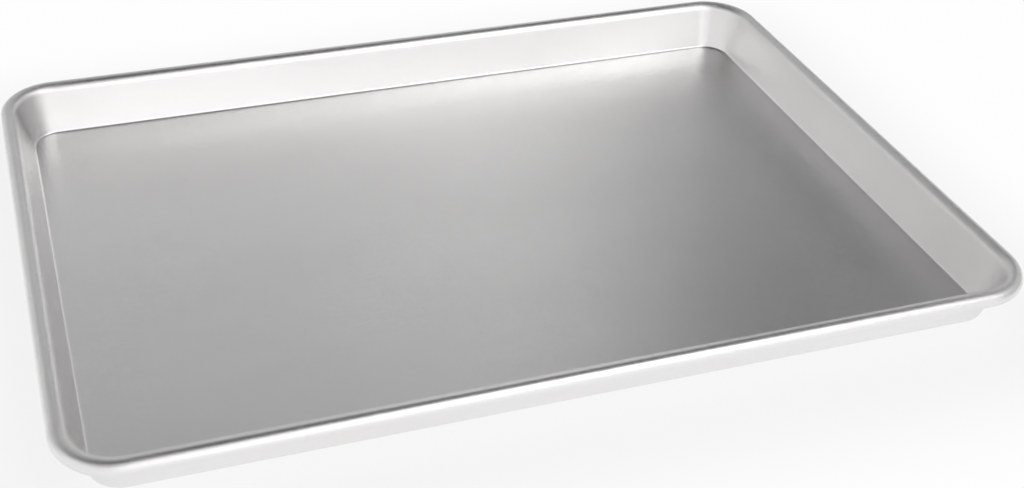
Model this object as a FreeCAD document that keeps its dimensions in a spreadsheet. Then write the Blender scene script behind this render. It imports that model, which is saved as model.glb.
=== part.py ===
import FreeCAD, Part
import math
import os
import Sketcher
from enum import IntEnum
from FreeCAD import Vector

# A jelly roll pan: one aluminium sheet drawn into a shallow tray with leaning walls and round
# corners. The sheet's edge is curled round a steel wire, which stiffens the rim.
# X runs along the long side, Y from the front to the back and Z up, with the origin in the
# middle of the base's underside. Lengths are in millimetres.

SIZES = {
    "rim_length": 405.0,  # over the rim, the long way
    "rim_width": 280.0,  # over the rim, the short way
    "pan_height": 24.0,  # underside of the base to the top of the rim
    "floor_setback": 15.2,  # outer edge of the rim to the edge of the flat floor, from above
    "floor_corner_radius": 10.5,  # corners of the flat floor; the bends above are concentric
    "sheet_gauge": 1.0,  # thickness of the sheet
    "floor_bend_radius": 2.5,  # inside of the bend from the floor to the wall
    "shoulder_ease": 0.95,  # how much rounder the bend at the wall's top is than the curl
    "curl_gap": 0.5,  # cut edge of the curl to the outside of the wall
    "wire_diameter": 4.8,
    "wire_clearance": 0.15,  # wire to the inside of the curl
    "wire_end_gap": 2.0,  # between the two ends of the wire, in the middle of the back
}

# Sizes that follow from the driving ones, as expressions on the sheet
FLOOR_HALF_LENGTH = "sizes.rim_length / 2 - sizes.floor_setback"
FLOOR_HALF_WIDTH = "sizes.rim_width / 2 - sizes.floor_setback"
FLOOR_CORNER = "sizes.floor_corner_radius"
FLOOR_BEND_INSIDE = "sizes.floor_bend_radius"
FLOOR_BEND_OUTSIDE = "sizes.floor_bend_radius + sizes.sheet_gauge"
CURL_RADIUS = "sizes.wire_diameter / 2 + sizes.wire_clearance + sizes.sheet_gauge"
SHOULDER_OUTSIDE = f"{CURL_RADIUS} + sizes.shoulder_ease"
SHOULDER_INSIDE = f"{SHOULDER_OUTSIDE} - sizes.sheet_gauge"
CURL_HALF_LENGTH = f"sizes.rim_length / 2 - ({CURL_RADIUS})"
CURL_HALF_WIDTH = f"sizes.rim_width / 2 - ({CURL_RADIUS})"
CURL_HEIGHT = f"sizes.pan_height - ({CURL_RADIUS})"
CURL_CORNER = f"sizes.floor_corner_radius + sizes.floor_setback - ({CURL_RADIUS})"
HALF_END_GAP = "sizes.wire_end_gap / 2"

SKETCH_NORMAL = Vector(0, 0, 1)
QUARTER_TURN = math.pi / 2

# Sides of the four corners, in the order in which a loop from the back's middle passes them
CORNER_SIDES = ((-1, 1), (-1, -1), (1, -1), (1, 1))
LOOP_EDGES = [f"Edge{edge}" for edge in range(1, 2 * len(CORNER_SIDES) + 2)]


class EdgePoint(IntEnum):
    """A point of an edge in a sketch."""

    START = 1
    END = 2
    CENTRE = 3


class SketchAxis(IntEnum):
    """An axis of a sketch, as the sketch numbers its own edges."""

    HORIZONTAL = -1
    VERTICAL = -2


START, END, CENTRE = EdgePoint
ORIGIN = (SketchAxis.HORIZONTAL, START)

doc = FreeCAD.newDocument("jelly_roll_pan")


def make_sheet():
    """The spreadsheet that holds the driving dimensions."""
    sheet = doc.addObject("Spreadsheet::Sheet", "sizes")
    for row, (alias, size) in enumerate(SIZES.items(), start=1):
        sheet.set(f"A{row}", alias)
        sheet.set(f"B{row}", str(size))
        sheet.setAlias(f"B{row}", alias)
    doc.recompute()
    return sheet


size_sheet = make_sheet()


def number(expression):
    """The value of an expression on the sheet."""
    return float(size_sheet.evalExpression(expression))


def add_sketch(body, name, plane_role):
    """A sketch on one of the body's own origin planes."""
    plane = next(item for item in body.Origin.OriginFeatures if item.Role == plane_role)
    sketch = body.newObject("Sketcher::SketchObject", name)
    sketch.AttachmentSupport = [(plane, "")]
    sketch.MapMode = "FlatFace"
    return sketch


def lift_sketch(sketch, expression):
    """Move a sketch along its plane's normal."""
    sketch.setExpression(".AttachmentOffset.Base.z", expression)


def add_arc(sketch, centre, radius, begin, end):
    """An arc in a sketch, anticlockwise from one angle to the other."""
    circle = Part.Circle(centre, SKETCH_NORMAL, radius)
    return sketch.addGeometry(Part.ArcOfCircle(circle, begin, end))


def on_circle(centre, radius, angle):
    """The point of a circle at an angle."""
    return centre + Vector(radius * math.cos(angle), radius * math.sin(angle), 0)


def hold(sketch, kind, *places):
    """Add a constraint that has no size."""
    sketch.addConstraint(Sketcher.Constraint(kind, *places))


def bind(sketch, name, expression, kind, *places):
    """Add a constraint whose size follows the sheet."""
    index = sketch.addConstraint(Sketcher.Constraint(kind, *places, number(expression)))
    sketch.renameConstraint(index, name)
    sketch.setExpression(f"Constraints.{name}", expression)


def draw_loop(body, name, half_length, half_width, corner_radius, half_gap=None):
    """A rounded rectangle that starts and ends in the middle of the back.

    With a gap, its two ends stay that far to either side of the middle.
    """
    sketch = add_sketch(body, name, "XY_Plane")
    radius = number(corner_radius)
    reach_x = number(half_length) - radius
    reach_y = number(half_width) - radius
    end_x = number(half_gap) if half_gap else 0
    start = Vector(-end_x, number(half_width), 0)
    for turn, (side_x, side_y) in enumerate(CORNER_SIDES, start=1):
        centre = Vector(side_x * reach_x, side_y * reach_y, 0)
        begin = turn * QUARTER_TURN
        corner_start = on_circle(centre, radius, begin)
        sketch.addGeometry(Part.LineSegment(start, corner_start))
        add_arc(sketch, centre, radius, begin, begin + QUARTER_TURN)
        start = on_circle(centre, radius, begin + QUARTER_TURN)
    sketch.addGeometry(Part.LineSegment(start, Vector(end_x, number(half_width), 0)))

    back_left, left, front, right, back_right = range(0, len(LOOP_EDGES), 2)
    first_corner, *other_corners = range(1, len(LOOP_EDGES), 2)
    for edge in range(len(LOOP_EDGES) - 1):
        hold(sketch, "Tangent", edge, END, edge + 1, START)
    for edge in (back_left, front, back_right):
        hold(sketch, "Horizontal", edge)
    for edge in (left, right):
        hold(sketch, "Vertical", edge)
    for corner in other_corners:
        hold(sketch, "Equal", first_corner, corner)
    bind(sketch, "corner_radius", corner_radius, "Radius", first_corner)
    bind(sketch, "to_left", half_length, "DistanceX", left, START, *ORIGIN)
    bind(sketch, "to_right", half_length, "DistanceX", *ORIGIN, right, START)
    bind(sketch, "to_front", half_width, "DistanceY", front, START, *ORIGIN)
    bind(sketch, "to_back", half_width, "DistanceY", *ORIGIN, back_left, START)
    if half_gap:
        bind(sketch, "start_gap", half_gap, "DistanceX", back_left, START, *ORIGIN)
        bind(sketch, "end_gap", half_gap, "DistanceX", *ORIGIN, back_right, END)
        bind(sketch, "end_to_back", half_width, "DistanceY", *ORIGIN, back_right, END)
    else:
        hold(sketch, "Coincident", back_right, END, back_left, START)
        hold(sketch, "PointOnObject", back_left, START, SketchAxis.VERTICAL)
    return sketch


def draw_wall_section(body):
    """The sheet's section across the back: floor bend, leaning wall, shoulder and curl.

    The sketch's own directions are outwards and up. The wall leans as its tangents to the
    floor bend and the shoulder make it.
    """
    sketch = add_sketch(body, "wall_section", "YZ_Plane")
    gauge = SIZES["sheet_gauge"]
    curl_outside = number(CURL_RADIUS)
    curl_inside = curl_outside - gauge
    shoulder_outside = number(SHOULDER_OUTSIDE)
    shoulder_inside = number(SHOULDER_INSIDE)
    bend_outside = number(FLOOR_BEND_OUTSIDE)
    bend_inside = number(FLOOR_BEND_INSIDE)
    curl_centre = Vector(number(CURL_HALF_WIDTH), number(CURL_HEIGHT), 0)
    shoulder_centre = curl_centre - Vector(0, SIZES["shoulder_ease"], 0)
    bend_centre = Vector(number(FLOOR_HALF_WIDTH), bend_outside, 0)

    rise = shoulder_centre - bend_centre
    lean = math.atan2(rise.x, rise.y) - math.asin((bend_inside + shoulder_outside) / rise.Length)
    wall_to_centre = shoulder_inside - SIZES["shoulder_ease"] * math.sin(lean)
    short_of_wall = math.acos((wall_to_centre - SIZES["curl_gap"]) / curl_outside)
    to_wall = math.pi - lean
    curl_end = to_wall + short_of_wall - 2 * math.pi
    down, up = -QUARTER_TURN, QUARTER_TURN

    floor_bend_in = add_arc(sketch, bend_centre, bend_inside, down, -lean)
    wall_in = sketch.addGeometry(Part.LineSegment(
        on_circle(bend_centre, bend_inside, -lean),
        on_circle(shoulder_centre, shoulder_outside, to_wall)))
    shoulder_out = add_arc(sketch, shoulder_centre, shoulder_outside, up, to_wall)
    curl_out = add_arc(sketch, curl_centre, curl_outside, curl_end, up)
    cut_edge = sketch.addGeometry(Part.LineSegment(
        on_circle(curl_centre, curl_outside, curl_end),
        on_circle(curl_centre, curl_inside, curl_end)))
    curl_in = add_arc(sketch, curl_centre, curl_inside, curl_end, up)
    shoulder_in = add_arc(sketch, shoulder_centre, shoulder_inside, up, to_wall)
    wall_out = sketch.addGeometry(Part.LineSegment(
        on_circle(shoulder_centre, shoulder_inside, to_wall),
        on_circle(bend_centre, bend_outside, -lean)))
    floor_bend_out = add_arc(sketch, bend_centre, bend_outside, down, -lean)
    floor_edge = sketch.addGeometry(Part.LineSegment(
        on_circle(bend_centre, bend_outside, down),
        on_circle(bend_centre, bend_inside, down)))

    # Each bend runs smoothly into the next stretch, and both its faces share one centre
    hold(sketch, "Tangent", floor_bend_in, END, wall_in, START)
    hold(sketch, "Tangent", wall_in, END, shoulder_out, END)
    hold(sketch, "Tangent", shoulder_out, START, curl_out, END)
    hold(sketch, "Coincident", curl_out, START, cut_edge, START)
    hold(sketch, "Coincident", cut_edge, END, curl_in, START)
    hold(sketch, "Tangent", curl_in, END, shoulder_in, START)
    hold(sketch, "Tangent", shoulder_in, END, wall_out, START)
    hold(sketch, "Tangent", wall_out, END, floor_bend_out, END)
    hold(sketch, "Coincident", floor_bend_out, START, floor_edge, START)
    hold(sketch, "Coincident", floor_edge, END, floor_bend_in, START)
    hold(sketch, "Coincident", floor_bend_in, CENTRE, floor_bend_out, CENTRE)
    hold(sketch, "Coincident", shoulder_in, CENTRE, shoulder_out, CENTRE)
    hold(sketch, "Coincident", curl_in, CENTRE, curl_out, CENTRE)
    hold(sketch, "Vertical", shoulder_out, CENTRE, curl_out, CENTRE)
    hold(sketch, "PointOnObject", curl_out, CENTRE, cut_edge)
    hold(sketch, "Vertical", floor_edge)
    hold(sketch, "Vertical", floor_bend_out, START, floor_bend_out, CENTRE)
    hold(sketch, "PointOnObject", floor_bend_out, START, SketchAxis.HORIZONTAL)
    bind(sketch, "bend_inside", FLOOR_BEND_INSIDE, "Radius", floor_bend_in)
    bind(sketch, "bend_outside", FLOOR_BEND_OUTSIDE, "Radius", floor_bend_out)
    bind(sketch, "shoulder_outside", SHOULDER_OUTSIDE, "Radius", shoulder_out)
    bind(sketch, "shoulder_inside", SHOULDER_INSIDE, "Radius", shoulder_in)
    bind(sketch, "curl_outside", CURL_RADIUS, "Radius", curl_out)
    bind(sketch, "curl_out_from_middle", CURL_HALF_WIDTH, "DistanceX", *ORIGIN, curl_out, CENTRE)
    bind(sketch, "curl_height", CURL_HEIGHT, "DistanceY", *ORIGIN, curl_out, CENTRE)
    bind(sketch, "floor_half_width", FLOOR_HALF_WIDTH, "DistanceX", *ORIGIN, floor_edge, START)
    bind(sketch, "curl_gap", "sizes.curl_gap", "Distance", curl_out, START, wall_out)
    return sketch


def sweep(body, name, profile, loop):
    """Sweep a profile along the whole of a loop."""
    pipe = body.newObject("PartDesign::AdditivePipe", name)
    pipe.Profile = profile
    pipe.Spine = (loop, LOOP_EDGES)
    pipe.Mode = "Standard"
    return pipe


def make_pan_sheet():
    """The drawn sheet: the flat floor, then walls, shoulder and curled rim all round it."""
    body = doc.addObject("PartDesign::Body", "pan_sheet")
    outline = draw_loop(body, "floor_outline", FLOOR_HALF_LENGTH, FLOOR_HALF_WIDTH, FLOOR_CORNER)
    section = draw_wall_section(body)
    doc.recompute()
    floor = body.newObject("PartDesign::Pad", "floor")
    floor.Profile = outline
    floor.setExpression("Length", "sizes.sheet_gauge")
    doc.recompute()
    sweep(body, "wall_and_rim", section, outline)
    doc.recompute()
    return body


def make_rim_wire():
    """The steel wire inside the curl, bent round the pan until its ends nearly meet."""
    body = doc.addObject("PartDesign::Body", "rim_wire")
    path = draw_loop(body, "wire_path", CURL_HALF_LENGTH, CURL_HALF_WIDTH, CURL_CORNER, HALF_END_GAP)
    lift_sketch(path, CURL_HEIGHT)
    section = add_sketch(body, "wire_section", "YZ_Plane")
    lift_sketch(section, f"-({HALF_END_GAP})")
    centre = Vector(number(CURL_HALF_WIDTH), number(CURL_HEIGHT), 0)
    radius = SIZES["wire_diameter"] / 2
    circle = section.addGeometry(Part.Circle(centre, SKETCH_NORMAL, radius))
    bind(section, "wire_diameter", "sizes.wire_diameter", "Diameter", circle)
    bind(section, "wire_half_width", CURL_HALF_WIDTH, "DistanceX", *ORIGIN, circle, CENTRE)
    bind(section, "wire_height", CURL_HEIGHT, "DistanceY", *ORIGIN, circle, CENTRE)
    doc.recompute()
    sweep(body, "wire", section, path)
    doc.recompute()
    return body


def check_document(bodies):
    """Stop if any object failed or a sub-part isn't one valid solid."""
    for item in doc.Objects:
        if "Invalid" in item.State or "Error" in item.State:
            raise RuntimeError(f"{item.Label} failed: {item.State}")
    for body in bodies:
        shape = body.Shape
        if shape.isNull() or not shape.isValid() or len(shape.Solids) != 1:
            raise RuntimeError(f"{body.Label} isn't one valid solid")


def write_parts(bodies):
    """Write each sub-part to a file of its own name."""
    os.makedirs("parts", exist_ok=True)
    for body in bodies:
        body.Shape.exportStep(f"parts/{body.Label}.step")
        print(f"{body.Label}: {body.Shape.Volume:.1f} cubic mm, {len(body.Shape.Faces)} faces")


sub_parts = [make_pan_sheet(), make_rim_wire()]
check_document(sub_parts)
write_parts(sub_parts)
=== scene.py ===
"""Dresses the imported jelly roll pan: the drawn aluminium sheet, its rim wire and a white studio."""

import logging
import math
from dataclasses import dataclass, field
from enum import Enum
from typing import Any

import bmesh
import bpy
from mathutils import Matrix, Vector, noise


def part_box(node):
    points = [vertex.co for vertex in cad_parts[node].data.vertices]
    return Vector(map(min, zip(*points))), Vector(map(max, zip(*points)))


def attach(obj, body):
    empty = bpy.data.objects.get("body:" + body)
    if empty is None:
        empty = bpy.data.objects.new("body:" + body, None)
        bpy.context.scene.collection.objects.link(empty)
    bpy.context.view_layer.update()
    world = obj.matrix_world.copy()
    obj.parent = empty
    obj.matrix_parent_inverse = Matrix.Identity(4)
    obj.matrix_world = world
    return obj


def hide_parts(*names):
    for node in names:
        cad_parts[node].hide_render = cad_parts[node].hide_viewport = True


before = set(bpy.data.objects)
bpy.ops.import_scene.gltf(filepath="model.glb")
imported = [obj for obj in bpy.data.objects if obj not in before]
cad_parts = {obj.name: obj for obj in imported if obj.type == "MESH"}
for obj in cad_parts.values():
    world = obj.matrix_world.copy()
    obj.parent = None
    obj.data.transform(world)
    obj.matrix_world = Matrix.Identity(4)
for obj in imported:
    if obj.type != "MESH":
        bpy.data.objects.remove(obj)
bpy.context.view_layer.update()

LOG = logging.getLogger("jelly_roll_pan")
MERGE_DISTANCE = 1e-6
QUARTER_TURN = math.radians(90)

Tone = tuple[float, float, float, float]
Triple = tuple[float, float, float]
Span = tuple[float, float]
Socket = bpy.types.NodeSocket

FADE_IN: Span = (0.0, 1.0)
FADE_OUT: Span = (1.0, 0.0)


class Direction(Enum):
    """The pan's own directions."""

    LENGTH = Vector((1.0, 0.0, 0.0))
    WIDTH = Vector((0.0, 1.0, 0.0))
    UP = Vector((0.0, 0.0, 1.0))


class MixSocket(Enum):
    """Numbers of the sockets that a Mix node uses for colours."""

    FACTOR = 0
    FIRST = 6
    SECOND = 7
    RESULT = 2


def grey(level: float) -> Tone:
    """A neutral opaque tone of that linear level."""
    return (level, level, level, 1.0)


def share(value: float) -> float:
    """The value, held between 0 and 1."""
    return min(1.0, max(0.0, value))


def heading(turn: float, lift: float) -> Vector:
    """Gives a direction by its angles.

    Args:
        turn: Its bearing, in radians, from the back of the pan towards its right.
        lift: Its angle above the horizon, in radians.

    Returns:
        The direction, of length 1.
    """
    return Vector((math.sin(turn) * math.cos(lift), math.cos(turn) * math.cos(lift), math.sin(lift)))


def add_object(name: str, mesh: bmesh.types.BMesh) -> bpy.types.Object:
    """Turns a finished mesh into an object of the scene.

    Args:
        name: The object's name.
        mesh: The mesh, which is freed.

    Returns:
        The object.
    """
    data = bpy.data.meshes.new(name)
    mesh.to_mesh(data)
    mesh.free()
    made = bpy.data.objects.new(name, data)
    bpy.context.scene.collection.objects.link(made)
    return made


class NodeBench:
    """Adds and wires the nodes of one shader."""

    def __init__(self, tree: bpy.types.NodeTree) -> None:
        """Empties the tree.

        Args:
            tree: The node tree of a material or of the world.
        """
        self.tree = tree
        tree.nodes.clear()

    def add(self, kind: str, inputs: dict[str | int, Any] | None = None, **settings: Any) -> bpy.types.Node:
        """Adds one node.

        Args:
            kind: The node's type, without its Shader prefix.
            inputs: Socket name or number to a constant, or to the output socket that feeds it.
            settings: The node's own properties.

        Returns:
            The new node.
        """
        node = self.tree.nodes.new("ShaderNode" + kind)
        for name, value in settings.items():
            setattr(node, name, value)
        for key, value in (inputs or {}).items():
            if isinstance(value, Socket):
                self.tree.links.new(value, node.inputs[key])
            else:
                node.inputs[key].default_value = value
        return node

    def number(self, operation: str, *values: Any) -> Socket:
        """Works a number out of others.

        Args:
            operation: The Math node's operation.
            values: Its inputs, as sockets or constants.

        Returns:
            The socket with the number.
        """
        return self.add("Math", dict(enumerate(values)), operation=operation).outputs[0]

    def vector(self, operation: str, *values: Any) -> bpy.types.NodeOutputs:
        """Works a vector or number out of vectors.

        Args:
            operation: The Vector Math node's operation.
            values: Its inputs, as sockets or constants.

        Returns:
            The node's outputs: Vector and Value.
        """
        return self.add("VectorMath", dict(enumerate(values)), operation=operation).outputs

    def tones(self, factor: Socket, first: Tone, second: Tone) -> Socket:
        """Mixes two tones.

        Args:
            factor: The share of the second.
            first: The tone at factor 0.
            second: The tone at factor 1.

        Returns:
            The socket with the mixed tone.
        """
        inputs = {MixSocket.FACTOR.value: factor, MixSocket.FIRST.value: first, MixSocket.SECOND.value: second}
        return self.add("Mix", inputs, data_type="RGBA").outputs[MixSocket.RESULT.value]

    def ramp(self, value: Socket, stops: tuple[Span, ...]) -> Socket:
        """Turns a number into a grey level by a smooth ramp.

        Args:
            value: The number, from 0 to 1.
            stops: Pairs of a place on the ramp and a linear level.

        Returns:
            The socket with the level as a colour.
        """
        node = self.add("ValToRGB", {"Fac": value})
        node.color_ramp.interpolation = "EASE"
        spots = node.color_ramp.elements
        for spot, (place, level) in zip(spots, (stops[0], stops[-1])):
            spot.position, spot.color = place, grey(level)
        for place, level in stops[1:-1]:
            spots.new(place).color = grey(level)
        return node.outputs["Color"]

    def stretch(self, value: Socket, span: Span, onto: Span = FADE_IN) -> Socket:
        """Maps a number from one range onto another, with soft ends.

        Args:
            value: The number.
            span: The range it is read over.
            onto: The range it is mapped onto.

        Returns:
            The socket with the mapped number.
        """
        node = self.add(
            "MapRange",
            {"Value": value, "From Min": span[0], "From Max": span[1], "To Min": onto[0], "To Max": onto[1]},
            interpolation_type="SMOOTHSTEP",
        )
        return node.outputs["Result"]

    def noise(self, place: Socket, scale: Triple, detail: float) -> Socket:
        """Adds a noise pattern with its own scale on each axis.

        Args:
            place: The coordinates it reads.
            scale: Pattern cells in a metre, on X, Y and Z.
            detail: Octaves of finer noise.

        Returns:
            The socket with the noise, about 0.5.
        """
        spot = self.add("Mapping", {"Vector": place, "Scale": scale}, vector_type="POINT")
        node = self.add("TexNoise", {"Vector": spot.outputs["Vector"], "Scale": 1.0, "Detail": detail})
        return node.outputs["Fac"]


def new_material(name: str) -> tuple[bpy.types.Material, NodeBench]:
    """Makes a material with an empty shader.

    Args:
        name: Its name.

    Returns:
        The material, and the bench for its shader.
    """
    made = bpy.data.materials.new(name)
    made.use_nodes = True
    return made, NodeBench(made.node_tree)


@dataclass(frozen=True)
class RolledAluminium:
    """Natural rolled aluminium sheet: satin, and sharpest along the grain that the rolls left.

    Attributes:
        dull_tone, bright_tone: Ends of the clouded base colour.
        smooth, rough: Ends of the speckled roughness.
        anisotropy: How much wider reflections are across the grain.
        cloud_scale, cloud_detail, cloud_span: Pattern of the base colour.
        grain_scale, grain_height: The rolled grain, long on X and finer than a pixel on Y and Z.
        speckle_scale, speckle_height, speckle_span: Fine speckle of the skin.
        peel_scale, peel_height: Roughened skin where the press stretched the sheet.
        fine_detail: Octaves of the grain, speckle and peel.
        bump_width: Width that bumps are measured over, in pixels.
        drawn_layer: The mesh's layer with the share of stretch.
    """

    name: str = "rolled_aluminium"
    dull_tone: Tone = (0.876, 0.868, 0.864, 1.0)
    bright_tone: Tone = (0.894, 0.888, 0.884, 1.0)
    smooth: float = 0.15
    rough: float = 0.19
    anisotropy: float = 1.0
    cloud_scale: Triple = (9.0, 22.0, 22.0)
    cloud_detail: float = 3.0
    cloud_span: Span = (0.35, 0.65)
    grain_scale: Triple = (300.0, 20000.0, 20000.0)
    grain_height: float = 1.7e-5
    speckle_scale: Triple = (900.0, 1500.0, 1500.0)
    speckle_height: float = 1e-6
    speckle_span: Span = (0.3, 0.7)
    peel_scale: Triple = (4000.0, 4000.0, 4000.0)
    peel_height: float = 9e-5
    fine_detail: float = 2.0
    bump_width: float = 0.02
    drawn_layer: str = "drawn"

    def material(self) -> bpy.types.Material:
        """Builds the finish.

        Returns:
            The material.
        """
        made, bench = new_material(self.name)
        place = bench.add("TexCoord").outputs["Object"]
        cloud = bench.noise(place, self.cloud_scale, self.cloud_detail)
        grain = bench.noise(place, self.grain_scale, self.fine_detail)
        speckle = bench.noise(place, self.speckle_scale, self.fine_detail)
        peel = bench.noise(place, self.peel_scale, self.fine_detail)
        drawn = bench.add("Attribute", attribute_name=self.drawn_layer).outputs["Fac"]
        peel_share = bench.number("MULTIPLY", peel, drawn)
        layers = ((grain, self.grain_height), (speckle, self.speckle_height), (peel_share, self.peel_height))
        shader = bench.add(
            "BsdfPrincipled",
            {
                "Base Color": bench.tones(bench.stretch(cloud, self.cloud_span), self.dull_tone, self.bright_tone),
                "Metallic": 1.0,
                "Roughness": bench.stretch(speckle, self.speckle_span, (self.smooth, self.rough)),
                "Anisotropic": self.anisotropy,
                "Tangent": self.across_grain(bench),
                "Normal": self.relief(bench, layers),
            },
        )
        bench.add("OutputMaterial", {"Surface": shader.outputs["BSDF"]})
        return made

    def across_grain(self, bench: NodeBench) -> Socket:
        """Gives the direction in the surface that crosses the rolling grain.

        Args:
            bench: The shader that reads it.

        Returns:
            The socket with the direction.
        """
        normal = bench.add("NewGeometry").outputs["Normal"]
        cross = bench.vector("CROSS_PRODUCT", Direction.LENGTH.value, normal)["Vector"]
        return bench.vector("NORMALIZE", cross)["Vector"]

    def relief(self, bench: NodeBench, layers: tuple[tuple[Socket, float], ...]) -> Socket:
        """Lays bumps on one another.

        Args:
            bench: The shader that reads them.
            layers: Pairs of a pattern and its height in metres, from the lowest layer up.

        Returns:
            The socket with the bumped normal.
        """
        below: dict[str, Socket] = {}
        for pattern, height in layers:
            inputs = {"Strength": 1.0, "Distance": height, "Filter Width": self.bump_width, "Height": pattern}
            bump = bench.add("Bump", inputs | below)
            below = {"Normal": bump.outputs["Normal"]}
        return below["Normal"]


@dataclass(frozen=True)
class GalvanisedSteel:
    """Dull zinc on steel wire, with faint spangles.

    Attributes:
        dark_tone, pale_tone: Ends of the spangles' base colour.
        smooth, rough: Ends of their roughness.
        spangle_scale: Spangles in a metre.
        scratch_scale, scratch_detail, scratch_height: Scratches from drawing the wire.
    """

    name: str = "galvanised_steel"
    dark_tone: Tone = (0.42, 0.44, 0.45, 1.0)
    pale_tone: Tone = (0.62, 0.64, 0.65, 1.0)
    smooth: float = 0.38
    rough: float = 0.55
    spangle_scale: float = 260.0
    scratch_scale: Triple = (900.0, 900.0, 300.0)
    scratch_detail: float = 3.0
    scratch_height: float = 1.5e-5

    def material(self) -> bpy.types.Material:
        """Builds the finish.

        Returns:
            The material.
        """
        made, bench = new_material(self.name)
        place = bench.add("TexCoord").outputs["Object"]
        spangle = bench.add("TexVoronoi", {"Vector": place, "Scale": self.spangle_scale}).outputs["Color"]
        spread = bench.add("SeparateColor", {"Color": spangle}).outputs
        scratch = bench.noise(place, self.scratch_scale, self.scratch_detail)
        bump = bench.add("Bump", {"Strength": 1.0, "Distance": self.scratch_height, "Height": scratch})
        shader = bench.add(
            "BsdfPrincipled",
            {
                "Base Color": bench.tones(spread["Red"], self.dark_tone, self.pale_tone),
                "Metallic": 1.0,
                "Roughness": bench.stretch(spread["Green"], FADE_IN, (self.smooth, self.rough)),
                "Normal": bump.outputs["Normal"],
            },
        )
        bench.add("OutputMaterial", {"Surface": shader.outputs["BSDF"]})
        return made


@dataclass(frozen=True)
class StudioPaper:
    """White paper under the pan, that keeps a soft shadow, with painted shade beside the pan's base.

    Attributes:
        pale_tone, white_tone: Ends of the matt sheet's colour.
        fibre_scale, fibre_detail: Pattern of that colour.
        base_reach: Half the size of the pan's base.
        near_share, far_share: Share of plain white that is seen beside the pan, and away from it; the smaller share
            beside the pan is painted shade there, on top of the sheet's own shadow.
        near_reach, far_reach: Distances from the base between which the share changes.
    """

    name: str = "studio_paper"
    pale_tone: Tone = (0.88, 0.88, 0.88, 1.0)
    white_tone: Tone = (0.92, 0.92, 0.92, 1.0)
    fibre_scale: Triple = (40.0, 40.0, 40.0)
    fibre_detail: float = 2.0
    base_reach: Triple = (0.187, 0.125, 0.0)
    near_share: float = 0.8
    far_share: float = 0.97
    near_reach: float = 0.015
    far_reach: float = 0.09

    def material(self) -> bpy.types.Material:
        """Builds the paper: its own white where a camera, mirror or glass looks at it, and a matt sheet elsewhere;
        less white near the base paints shade round the pan.

        Returns:
            The material.
        """
        made, bench = new_material(self.name)
        place = bench.add("TexCoord").outputs["Object"]
        fibre = bench.noise(place, self.fibre_scale, self.fibre_detail)
        sheet = bench.add("BsdfDiffuse", {"Color": bench.tones(fibre, self.pale_tone, self.white_tone)})
        white = bench.add("Emission", {"Color": grey(1.0), "Strength": 1.0})
        ray = bench.add("LightPath").outputs
        seen = bench.number("MAXIMUM", ray["Is Camera Ray"], ray["Is Glossy Ray"])
        seen = bench.number("MAXIMUM", seen, ray["Is Transmission Ray"])
        # Painted shade: the share of white drops towards the base, so the paper is darker beside the pan even where
        # no shadow falls.
        reach = (self.near_reach, self.far_reach)
        white_share = bench.stretch(self.away(bench, place), reach, (self.near_share, self.far_share))
        factor = bench.number("MULTIPLY", seen, white_share)
        both = bench.add("MixShader", {0: factor, 1: sheet.outputs["BSDF"], 2: white.outputs["Emission"]})
        bench.add("OutputMaterial", {"Surface": both.outputs["Shader"]})
        return made

    def away(self, bench: NodeBench, place: Socket) -> Socket:
        """Measures how far a place on the paper is from the pan's base.

        Args:
            bench: The paper's shader.
            place: The place.

        Returns:
            The socket with the distance.
        """
        size = bench.vector("ABSOLUTE", place)["Vector"]
        past = bench.vector("SUBTRACT", size, self.base_reach)["Vector"]
        past = bench.vector("MAXIMUM", past, Vector())["Vector"]
        return bench.vector("LENGTH", past)["Value"]


class SectionPen:
    """Draws a chain of edges in the plane across the pan's length, from run to run and bend to bend."""

    def __init__(self, mesh: bmesh.types.BMesh, start: Vector) -> None:
        """Puts the pen down.

        Args:
            mesh: The mesh that takes the chain.
            start: The chain's first point.
        """
        self.mesh = mesh
        self.tip = mesh.verts.new(start)

    def run(self, end: Vector, steps: int, margin: float = 0.0) -> None:
        """Draws a straight run.

        Args:
            end: Its last point.
            steps: Equal edges along it, apart from its margins.
            margin: Length of a short edge at each end, that keeps the flat flat; 0 for none.
        """
        start = self.tip.co.copy()
        whole = (end - start).length
        inner = whole - 2 * margin
        stops = [margin + inner * i / steps for i in range(1, steps)]
        if margin:
            stops = [margin, *stops, whole - margin]
        for stop in [*stops, whole]:
            self.tip = bmesh.ops.extrude_vert_indiv(self.mesh, verts=[self.tip])["verts"][0]
            move = start.lerp(end, stop / whole) - self.tip.co
            bmesh.ops.translate(self.mesh, verts=[self.tip], vec=move)

    def bend(self, centre: Vector, angle: float, steps: int) -> None:
        """Draws an arc from the pen's tip.

        Args:
            centre: The arc's centre.
            angle: Its turn, from the pan's width towards up.
            steps: Edges along it.
        """
        made = bmesh.ops.spin(
            self.mesh,
            geom=[self.tip],
            cent=centre,
            axis=Direction.LENGTH.value,
            dvec=Vector(),
            angle=angle,
            steps=steps,
            use_merge=False,
            use_duplicate=False,
        )
        self.tip = next(g for g in made["geom_last"] if isinstance(g, bmesh.types.BMVert))


@dataclass(frozen=True)
class DrawMark:
    """A shallow mark that the press left in the sheet, fading out from its middle.

    Attributes:
        place: Its middle.
        reach: How far it reaches on each axis.
        push: The move of its middle.
    """

    place: Triple
    reach: Triple
    push: Triple

    def shift(self, point: Vector) -> Vector:
        """How far the mark moves a point of the sheet.

        Args:
            point: The point before the mark.

        Returns:
            Its move.
        """
        away = sum(((point[i] - self.place[i]) / self.reach[i]) ** 2 for i in range(3))
        return Vector(self.push) * math.exp(-away)


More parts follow.
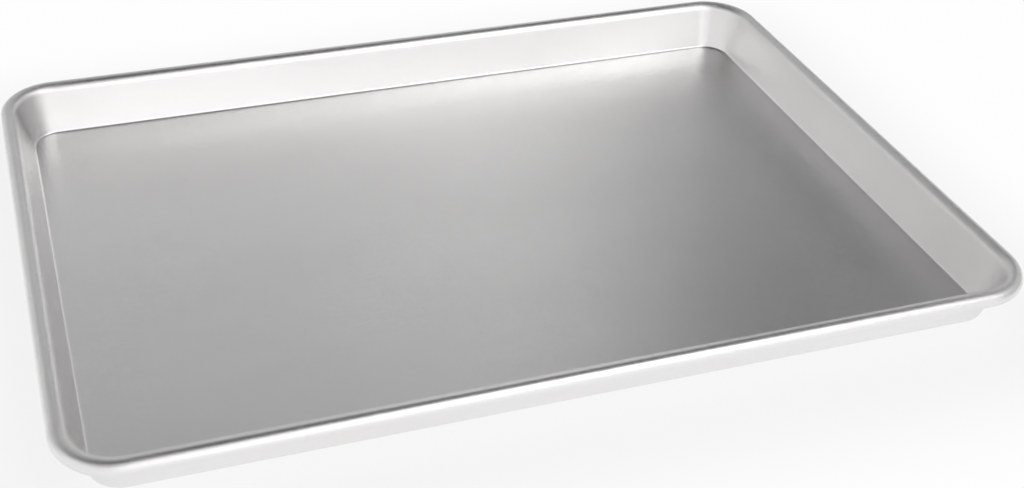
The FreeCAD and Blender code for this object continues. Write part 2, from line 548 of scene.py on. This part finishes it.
@dataclass
class PanSheet:
    """The one sheet of the pan: floor, leaning walls, shoulder and the rim curled round its wire.

    Attributes:
        high: The upper corner of the sheet's box.
        gauge: The sheet's thickness.
        setback: From the rim's outside in to the floor's edge.
        floor_corner: Radius of the floor's corners.
        floor_bend: The solid's inside radius between floor and wall.
        crease: The inside radius that shows there.
        wire_radius, wire_clearance: The wire in the curl, and the room round it.
        shoulder_ease: How much wider the shoulder's radius is than the curl's.
        curl_gap: Between the curl's end and the wall.
        floor_steps, wall_steps, bend_steps, curl_steps: Edges along the section, on its upper face.
        under_wall_steps, under_bend_steps, under_curl_steps, cut_steps: The same underneath, and at the cut edge.
        flat_margin: Length of the short edges at the ends of flats.
        length_steps, width_steps, corner_steps: Copies of the section along a quarter of the rim.
        grading: How much closer the copies are near a corner.
        sharp_angle: The least angle between faces that shows as an edge.
        corner_fade: How far from a corner its stretch reaches.
        wall_drawn, rim_drawn, end_rim_drawn: Share of stretch on the walls, and on the rim at sides and ends.
        rim_depth: Where the rim's share starts below the top, in radii of the curl.
        pucker_height, pucker_length, pucker_offset: Size of the puckers round the corners.
        marks: Dents that the press left.
    """

    high: Vector
    gauge: float = 0.001
    setback: float = 0.0152
    floor_corner: float = 0.0105
    floor_bend: float = 0.0025
    crease: float = 0.0014
    wire_radius: float = 0.0024
    wire_clearance: float = 0.00015
    shoulder_ease: float = 0.00095
    curl_gap: float = 0.0005
    floor_steps: int = 3
    wall_steps: int = 14
    bend_steps: int = 12
    curl_steps: int = 36
    cut_steps: int = 2
    under_wall_steps: int = 6
    under_bend_steps: int = 8
    under_curl_steps: int = 20
    flat_margin: float = 0.0006
    length_steps: int = 46
    width_steps: int = 32
    corner_steps: int = 18
    grading: float = 1.5
    sharp_angle: float = math.radians(40)
    corner_fade: float = 0.03
    wall_drawn: float = 0.17
    rim_drawn: float = 0.33
    end_rim_drawn: float = 0.75
    rim_depth: float = 2.0
    pucker_height: float = 0.00007
    pucker_length: float = 0.009
    pucker_offset: float = 0.5
    marks: tuple[DrawMark, ...] = (
        DrawMark((0.1902, 0.104, 0.0048), (0.006, 0.006, 0.0022), (-0.00022, 0.0, 0.0)),
        DrawMark((0.1908, 0.095, 0.0066), (0.006, 0.006, 0.0024), (-0.00024, 0.0, 0.0)),
        DrawMark((0.1915, 0.085, 0.0092), (0.006, 0.008, 0.003), (-0.00016, 0.0, 0.0)),
        DrawMark((-0.1766, 0.1277, 0.0046), (0.004, 0.006, 0.0025), (0.0, -0.00016, 0.0)),
        DrawMark((-0.2, -0.108, 0.02), (0.005, 0.005, 0.006), (0.00018, 0.0, 0.0)),
    )
    finish: RolledAluminium = field(default_factory=RolledAluminium)

    @property
    def curl_outside(self) -> float:
        """Outside radius of the curl."""
        return self.wire_radius + self.wire_clearance + self.gauge

    @property
    def corner_centre(self) -> Vector:
        """The point that the back right corner turns round, on the base."""
        inset = self.setback + self.floor_corner
        return Vector((self.high.x - inset, self.high.y - inset, 0.0))

    def draw_section(self, mesh: bmesh.types.BMesh) -> None:
        """Draws the sheet's outline across the back wall, from the floor's top round to its underside.

        Args:
            mesh: The mesh that takes the outline.
        """
        # Centres of the curl, the shoulder and the bend, and the lean of the wall that touches the last two.
        top = self.curl_outside
        curl = Vector((0.0, self.high.y - top, self.high.z - top))
        shoulder = curl - Vector((0.0, 0.0, self.shoulder_ease))
        shoulder_outside = top + self.shoulder_ease
        bend = Vector((0.0, self.high.y - self.setback, self.floor_bend + self.gauge))
        span = shoulder - bend
        lean = math.atan2(span.y, span.z) - math.asin((self.floor_bend + shoulder_outside) / span.length)
        rise = QUARTER_TURN - lean
        outward = Vector((0.0, math.cos(lean), -math.sin(lean)))

        # The curl turns until its cut edge is a gap away from the wall.
        wall_distance = (curl - bend).dot(outward) - self.floor_bend - self.gauge
        tuck = math.acos((wall_distance - self.curl_gap) / top)
        curl_turn = QUARTER_TURN + math.pi + lean - tuck

        # The crease is tighter than the solid's bend, and touches the same floor and wall.
        eased = self.floor_bend - self.crease
        foot = bend + Vector((0.0, eased * (1.0 - math.sin(lean)) / math.cos(lean), -eased))

        inner = Vector((0.0, self.corner_centre.y, self.gauge))
        pen = SectionPen(mesh, inner)
        pen.run(Vector((0.0, foot.y, self.gauge)), self.floor_steps, self.flat_margin)
        pen.bend(foot, rise, self.bend_steps)
        pen.run(shoulder - outward * shoulder_outside, self.wall_steps, self.flat_margin)
        pen.bend(shoulder, -rise, self.bend_steps)
        pen.bend(curl, -curl_turn, self.curl_steps)
        cut = (curl - pen.tip.co).normalized() * self.gauge
        pen.run(pen.tip.co + cut, self.cut_steps)
        pen.bend(curl, curl_turn, self.under_curl_steps)
        pen.bend(shoulder, rise, self.under_bend_steps)
        pen.run(bend + outward * (self.floor_bend + self.gauge), self.under_wall_steps, self.flat_margin)
        pen.bend(bend, -rise, self.under_bend_steps)
        pen.run(Vector((0.0, inner.y, 0.0)), self.floor_steps, self.flat_margin)

    def stops(self, length: float, steps: int) -> list[float]:
        """Places along half a side, closer together near the corner.

        Args:
            length: The half side.
            steps: How many.

        Returns:
            Distances from the side's middle.
        """
        return [length * (1.0 - (1.0 - i / steps) ** self.grading) for i in range(1, steps + 1)]

    def drag(
        self, mesh: bmesh.types.BMesh, edges: list[bmesh.types.BMEdge], way: Vector, stops: list[float]
    ) -> list[bmesh.types.BMEdge]:
        """Extrudes a chain of edges along a straight side.

        Args:
            mesh: The mesh.
            edges: The chain.
            way: The direction.
            stops: Distances along it.

        Returns:
            The chain's last copy.
        """
        done = 0.0
        for stop in stops:
            made = bmesh.ops.extrude_edge_only(mesh, edges=edges)["geom"]
            verts = [g for g in made if isinstance(g, bmesh.types.BMVert)]
            edges = [g for g in made if isinstance(g, bmesh.types.BMEdge)]
            bmesh.ops.translate(mesh, verts=verts, vec=way * (stop - done))
            done = stop
        return edges

    def sweep_quarter(self, mesh: bmesh.types.BMesh) -> None:
        """Sweeps the section round a quarter of the pan and fills the quarter's floor.

        Args:
            mesh: The mesh that holds the section.
        """
        centre = self.corner_centre
        along = self.stops(centre.x, self.length_steps)
        across = self.stops(centre.y, self.width_steps)
        edges = self.drag(mesh, mesh.edges[:], Direction.LENGTH.value, along)
        verts = list(dict.fromkeys(v for e in edges for v in e.verts))
        turned = bmesh.ops.spin(
            mesh,
            geom=verts + edges,
            cent=centre,
            axis=Direction.UP.value,
            dvec=Vector(),
            angle=-QUARTER_TURN,
            steps=self.corner_steps,
            use_merge=False,
            use_duplicate=False,
        )
        edges = [g for g in turned["geom_last"] if isinstance(g, bmesh.types.BMEdge)]
        inward = [centre.y - stop for stop in reversed(across[:-1])] + [centre.y]
        self.drag(mesh, edges, -Direction.WIDTH.value, inward)
        floor_edge = [
            e
            for e in mesh.edges
            if all(abs(v.co.y - centre.y) < MERGE_DISTANCE and v.co.x < centre.x + MERGE_DISTANCE for v in e.verts)
        ]
        self.drag(mesh, floor_edge, -Direction.WIDTH.value, inward)

    def close(self, mesh: bmesh.types.BMesh) -> None:
        """Mirrors the quarter into the whole sheet and joins it.

        Args:
            mesh: The mesh that holds the quarter.
        """
        bmesh.ops.remove_doubles(mesh, verts=mesh.verts[:], dist=MERGE_DISTANCE)
        for axis in ("X", "Y"):
            whole = mesh.verts[:] + mesh.edges[:] + mesh.faces[:]
            bmesh.ops.mirror(mesh, geom=whole, axis=axis, merge_dist=MERGE_DISTANCE)
        bmesh.ops.remove_doubles(mesh, verts=mesh.verts[:], dist=MERGE_DISTANCE)
        bmesh.ops.dissolve_degenerate(mesh, edges=mesh.edges[:], dist=MERGE_DISTANCE)
        bmesh.ops.recalc_face_normals(mesh, faces=mesh.faces[:])

    def lifted_share(self, point: Vector) -> float:
        """How far up the bend a point is, from 0 on the floor to 1 on the wall."""
        return share((point.z - self.gauge) / self.floor_bend)

    def corner_share(self, point: Vector) -> float:
        """How near a corner a point is.

        Args:
            point: A point of the sheet.

        Returns:
            The share, from 0 along the sides to 1 in the corners.
        """
        centre = self.corner_centre
        into_corner = min(abs(point.x) - centre.x, abs(point.y) - centre.y)
        return share(1.0 + into_corner / self.corner_fade)

    def drawn_share(self, point: Vector) -> float:
        """How far the press stretched the sheet at a point: not at all on the floor, most at the corners.

        Args:
            point: A point of the sheet.

        Returns:
            The share, from 0 to 1.
        """
        curled = share(self.rim_depth - (self.high.z - point.z) / self.curl_outside)
        rim_drawn = self.end_rim_drawn if abs(point.x) > self.corner_centre.x else self.rim_drawn
        straight = self.wall_drawn + (rim_drawn - self.wall_drawn) * curled
        return self.lifted_share(point) * (straight + (1.0 - straight) * self.corner_share(point))

    def pucker(self, point: Vector) -> Vector:
        """How far the corners' puckers move a point of the sheet, on the walls alone.

        Args:
            point: The point before the puckers.

        Returns:
            Its move.
        """
        under_rim = share((self.high.z - self.curl_outside - point.z) / self.curl_outside)
        strength = self.corner_share(point) * self.lifted_share(point) * under_rim
        inward = Vector((-math.copysign(1.0, point.x), -math.copysign(1.0, point.y), 0.0)).normalized()
        wave = self.pucker_offset + noise.noise(point / self.pucker_length)
        return inward * (wave * strength * self.pucker_height)

    def form(self, mesh: bmesh.types.BMesh) -> None:
        """Leaves the press's marks in the sheet: its stretch, puckers round the corners and a few dents.

        Args:
            mesh: The whole sheet.
        """
        drawn = mesh.verts.layers.float.new(self.finish.drawn_layer)
        for vert in mesh.verts:
            vert[drawn] = self.drawn_share(vert.co)
            dents = sum((mark.shift(vert.co) for mark in self.marks), Vector())
            vert.co += dents + self.pucker(vert.co)

    def shade(self, mesh: bmesh.types.BMesh) -> None:
        """Smooths the faces and keeps the cut edge sharp.

        Args:
            mesh: The whole sheet.
        """
        for face in mesh.faces:
            face.smooth = True
        for edge in mesh.edges:
            edge.smooth = edge.calc_face_angle(0.0) < self.sharp_angle

    def build(self) -> bpy.types.Object:
        """Makes the sheet's mesh and its object.

        Returns:
            The object.
        """
        mesh = bmesh.new()
        self.draw_section(mesh)
        self.sweep_quarter(mesh)
        self.close(mesh)
        self.form(mesh)
        self.shade(mesh)
        return add_object("drawn_sheet", mesh)

    def dress(self, piece: bpy.types.Object) -> None:
        """Gives the sheet its finish and its place in the frame.

        Args:
            piece: The sheet's object.
        """
        piece.data.materials.append(self.finish.material())
        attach(piece, "root")
        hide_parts("pan_sheet")


@dataclass
class RimWire:
    """The wire inside the curl, as the frame holds it."""

    node: bpy.types.Object
    finish: GalvanisedSteel = field(default_factory=GalvanisedSteel)

    def dress(self) -> None:
        """Gives the wire its finish."""
        self.node.data.materials.clear()
        self.node.data.materials.append(self.finish.material())


@dataclass(frozen=True)
class StudioBoard:
    """A white board or cloth that stands round the pan, far away, with soft edges.

    Attributes:
        bearing: The direction of its middle, in degrees from the back of the pan towards its right.
        half_width: Degrees from its middle to its sides.
        low, high: Degrees above the horizon of its foot and head.
        level: Its brightness.
        side_edge, end_edge: Half the width of its soft edges, in degrees.
    """

    bearing: float
    half_width: float
    low: float
    high: float
    level: float
    side_edge: float
    end_edge: float

    def paint(self, bench: NodeBench, way: Socket, height: Socket) -> Socket:
        """Paints the board for a sky.

        Args:
            bench: The sky's shader.
            way: The direction looked in.
            height: The angle above the horizon, in degrees.

        Returns:
            The socket with the board's level in that direction.
        """
        turn = math.radians(self.bearing)
        beside = bench.vector("DOT_PRODUCT", way, heading(turn + QUARTER_TURN, 0.0))["Value"]
        ahead = bench.vector("DOT_PRODUCT", way, heading(turn, 0.0))["Value"]
        swing = bench.number("ABSOLUTE", bench.number("ARCTAN2", beside, ahead))
        reach, edge = math.radians(self.half_width), math.radians(self.side_edge)
        side = bench.stretch(swing, (reach - edge, reach + edge), FADE_OUT)
        foot = bench.stretch(height, (self.low - self.end_edge, self.low + self.end_edge))
        head = bench.stretch(height, (self.high - self.end_edge, self.high + self.end_edge), FADE_OUT)
        shape = bench.number("MULTIPLY", side, bench.number("MULTIPLY", foot, head))
        return bench.number("MULTIPLY", shape, self.level)


@dataclass(frozen=True)
class StudioSky:
    """The room round the pan: pale low down, a dark ceiling, and boards on all sides.

    Attributes:
        room_levels: Pairs of a height, as the sine of its angle above the horizon, and a brightness.
        boards: The boards, each of which adds to the room.
    """

    room_levels: tuple[Span, ...] = ((0.0, 0.25), (0.15, 0.3), (0.27, 0.53), (0.4, 0.27), (0.55, 0.02), (1.0, 0.07))
    boards: tuple[StudioBoard, ...] = (
        # Behind the pan: a wide cloth that lights the floor, and a strip that brightens its right end.
        StudioBoard(bearing=-9.0, half_width=38.0, low=18.0, high=53.0, level=0.49, side_edge=1.5, end_edge=8.5),
        StudioBoard(bearing=24.5, half_width=6.0, low=26.5, high=34.5, level=0.65, side_edge=2.5, end_edge=5.0),
        # In front: a tall cloth on the right, one behind the camera, and a low one that the back wall mirrors.
        StudioBoard(bearing=133.0, half_width=39.0, low=26.0, high=68.0, level=0.92, side_edge=4.0, end_edge=2.5),
        StudioBoard(bearing=179.0, half_width=8.0, low=0.0, high=78.0, level=0.73, side_edge=4.0, end_edge=4.5),
        StudioBoard(bearing=155.0, half_width=18.0, low=5.0, high=26.0, level=0.93, side_edge=4.5, end_edge=5.5),
        # On the left: a wide cloth towards the camera, and a dim one towards the back.
        StudioBoard(bearing=-130.0, half_width=53.0, low=7.0, high=55.0, level=0.73, side_edge=16.0, end_edge=4.5),
        StudioBoard(bearing=-55.5, half_width=31.5, low=8.0, high=32.5, level=0.25, side_edge=9.0, end_edge=2.5),
        # On the right: a cloth, and a low strip that the left wall's foot mirrors.
        StudioBoard(bearing=67.5, half_width=21.0, low=17.0, high=47.0, level=0.46, side_edge=5.5, end_edge=10.0),
        StudioBoard(bearing=40.5, half_width=9.5, low=8.5, high=17.0, level=0.7, side_edge=3.5, end_edge=2.5),
    )

    def build(self) -> None:
        """Paints the world."""
        world = bpy.data.worlds.new("studio_sky")
        bpy.context.scene.world = world
        world.use_nodes = True
        bench = NodeBench(world.node_tree)
        way = bench.add("TexCoord").outputs["Generated"]
        rise = bench.add("SeparateXYZ", {"Vector": way}).outputs["Z"]
        height = bench.number("DEGREES", bench.number("ARCSINE", rise))
        light = bench.ramp(rise, self.room_levels)
        for board in self.boards:
            light = bench.number("ADD", light, board.paint(bench, way, height))
        glow = bench.add("Background", {"Color": light, "Strength": 1.0})
        bench.add("OutputWorld", {"Surface": glow.outputs["Background"]})


@dataclass(frozen=True)
class Softbox:
    """A lamp behind a wide white cloth, aimed at the pan.

    Attributes:
        bearing: Its direction, in degrees from the back of the pan towards its right.
        rise: Its angle above the horizon, in degrees.
        distance: How far away it hangs.
        width, height: The cloth's size.
        brightness: The cloth's brightness, where 1 is white.
        white_watts: Power of a square metre of white cloth.
    """

    name: str
    bearing: float
    rise: float
    distance: float
    width: float
    height: float
    brightness: float
    white_watts: float = 4.0

    def build(self) -> bpy.types.Object:
        """Hangs the lamp.

        Returns:
            Its object.
        """
        way = heading(math.radians(self.bearing), math.radians(self.rise))
        lamp = bpy.data.lights.new(self.name, "AREA")
        lamp.shape = "RECTANGLE"
        lamp.size, lamp.size_y = self.width, self.height
        lamp.energy = self.white_watts * self.width * self.height * self.brightness
        made = bpy.data.objects.new(self.name, lamp)
        aim = way.to_track_quat("Z", "Y").to_matrix()
        made.matrix_world = Matrix.Translation(way * self.distance) @ aim.to_4x4()
        made.visible_camera = False
        bpy.context.scene.collection.objects.link(made)
        return made


@dataclass
class Studio:
    """Paper floor, sky and lamps.

    Attributes:
        floor_radius, floor_sides: Size of the round paper, and its edges.
        floor_drop: How far the paper lies below the base, so that the two don't share a plane.
    """

    floor_radius: float = 14.0
    floor_sides: int = 96
    floor_drop: float = 0.0001
    paper: StudioPaper = field(default_factory=StudioPaper)
    sky: StudioSky = field(default_factory=StudioSky)
    lamps: tuple[Softbox, ...] = (
        Softbox("front_softbox", bearing=145.0, rise=50.0, distance=2.5, width=1.25, height=0.75, brightness=1.2),
    )

    def build(self) -> None:
        """Lays the floor, paints the sky and hangs the lamps."""
        mesh = bmesh.new()
        bmesh.ops.create_circle(mesh, cap_ends=True, segments=self.floor_sides, radius=self.floor_radius)
        bmesh.ops.translate(mesh, verts=mesh.verts[:], vec=-Direction.UP.value * self.floor_drop)
        floor = add_object("studio_floor", mesh)
        floor.data.materials.append(self.paper.material())
        self.sky.build()
        for lamp in self.lamps:
            lamp.build()


@dataclass
class PhotoCamera:
    """The camera, where the photograph was taken from.

    Attributes:
        place: Where it stands.
        yaw, pitch, roll: Its turn from the back towards the right, its tilt, and its lean, in degrees.
        image_width: The picture's width, in pixels.
        focal_pixels: The lens's focal length, in pixels.
        axis_pixel: The column that the lens points at.
        film_width: The sensor's width, in millimetres.
        near, far: The range that it sees.
    """

    place: Triple = (-0.19327, -0.50031, 0.37409)
    yaw: float = 17.935
    pitch: float = -35.957
    roll: float = 1.515
    image_width: float = 1024.0
    focal_pixels: float = 1409.6
    axis_pixel: float = 409.06
    film_width: float = 36.0
    near: float = 0.01
    far: float = 100.0

    def build(self) -> bpy.types.Object:
        """Sets the camera up and makes it the scene's.

        Returns:
            Its object.
        """
        data = bpy.data.cameras.new("photo_camera")
        data.sensor_width = self.film_width
        data.lens = self.focal_pixels / self.image_width * self.film_width
        data.shift_x = (self.image_width / 2 - self.axis_pixel) / self.image_width
        data.clip_start, data.clip_end = self.near, self.far
        yaw, pitch, roll = (math.radians(angle) for angle in (self.yaw, self.pitch, self.roll))
        ahead = heading(yaw, pitch)
        level = heading(yaw + QUARTER_TURN, 0.0)
        above = level.cross(ahead)
        right = level * math.cos(roll) + above * math.sin(roll)
        up = above * math.cos(roll) - level * math.sin(roll)
        turn = Matrix((right, up, -ahead)).transposed()
        made = bpy.data.objects.new("photo_camera", data)
        made.matrix_world = Matrix.Translation(self.place) @ turn.to_4x4()
        bpy.context.scene.collection.objects.link(made)
        bpy.context.scene.camera = made
        return made


def main() -> None:
    """Builds the pan's pieces, then the studio and the camera."""
    logging.basicConfig(level=logging.INFO, format="%(name)s: %(message)s")
    bpy.context.scene.view_settings.view_transform = "Standard"
    _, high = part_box("pan_sheet")
    sheet = PanSheet(high)
    piece = sheet.build()
    sheet.dress(piece)
    LOG.info("%s: %d faces", piece.name, len(piece.data.polygons))
    wire = RimWire(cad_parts["rim_wire"])
    wire.dress()
    LOG.info("%s: dressed", wire.node.name)
    Studio().build()
    PhotoCamera().build()


if __name__ == "__main__":
    main()
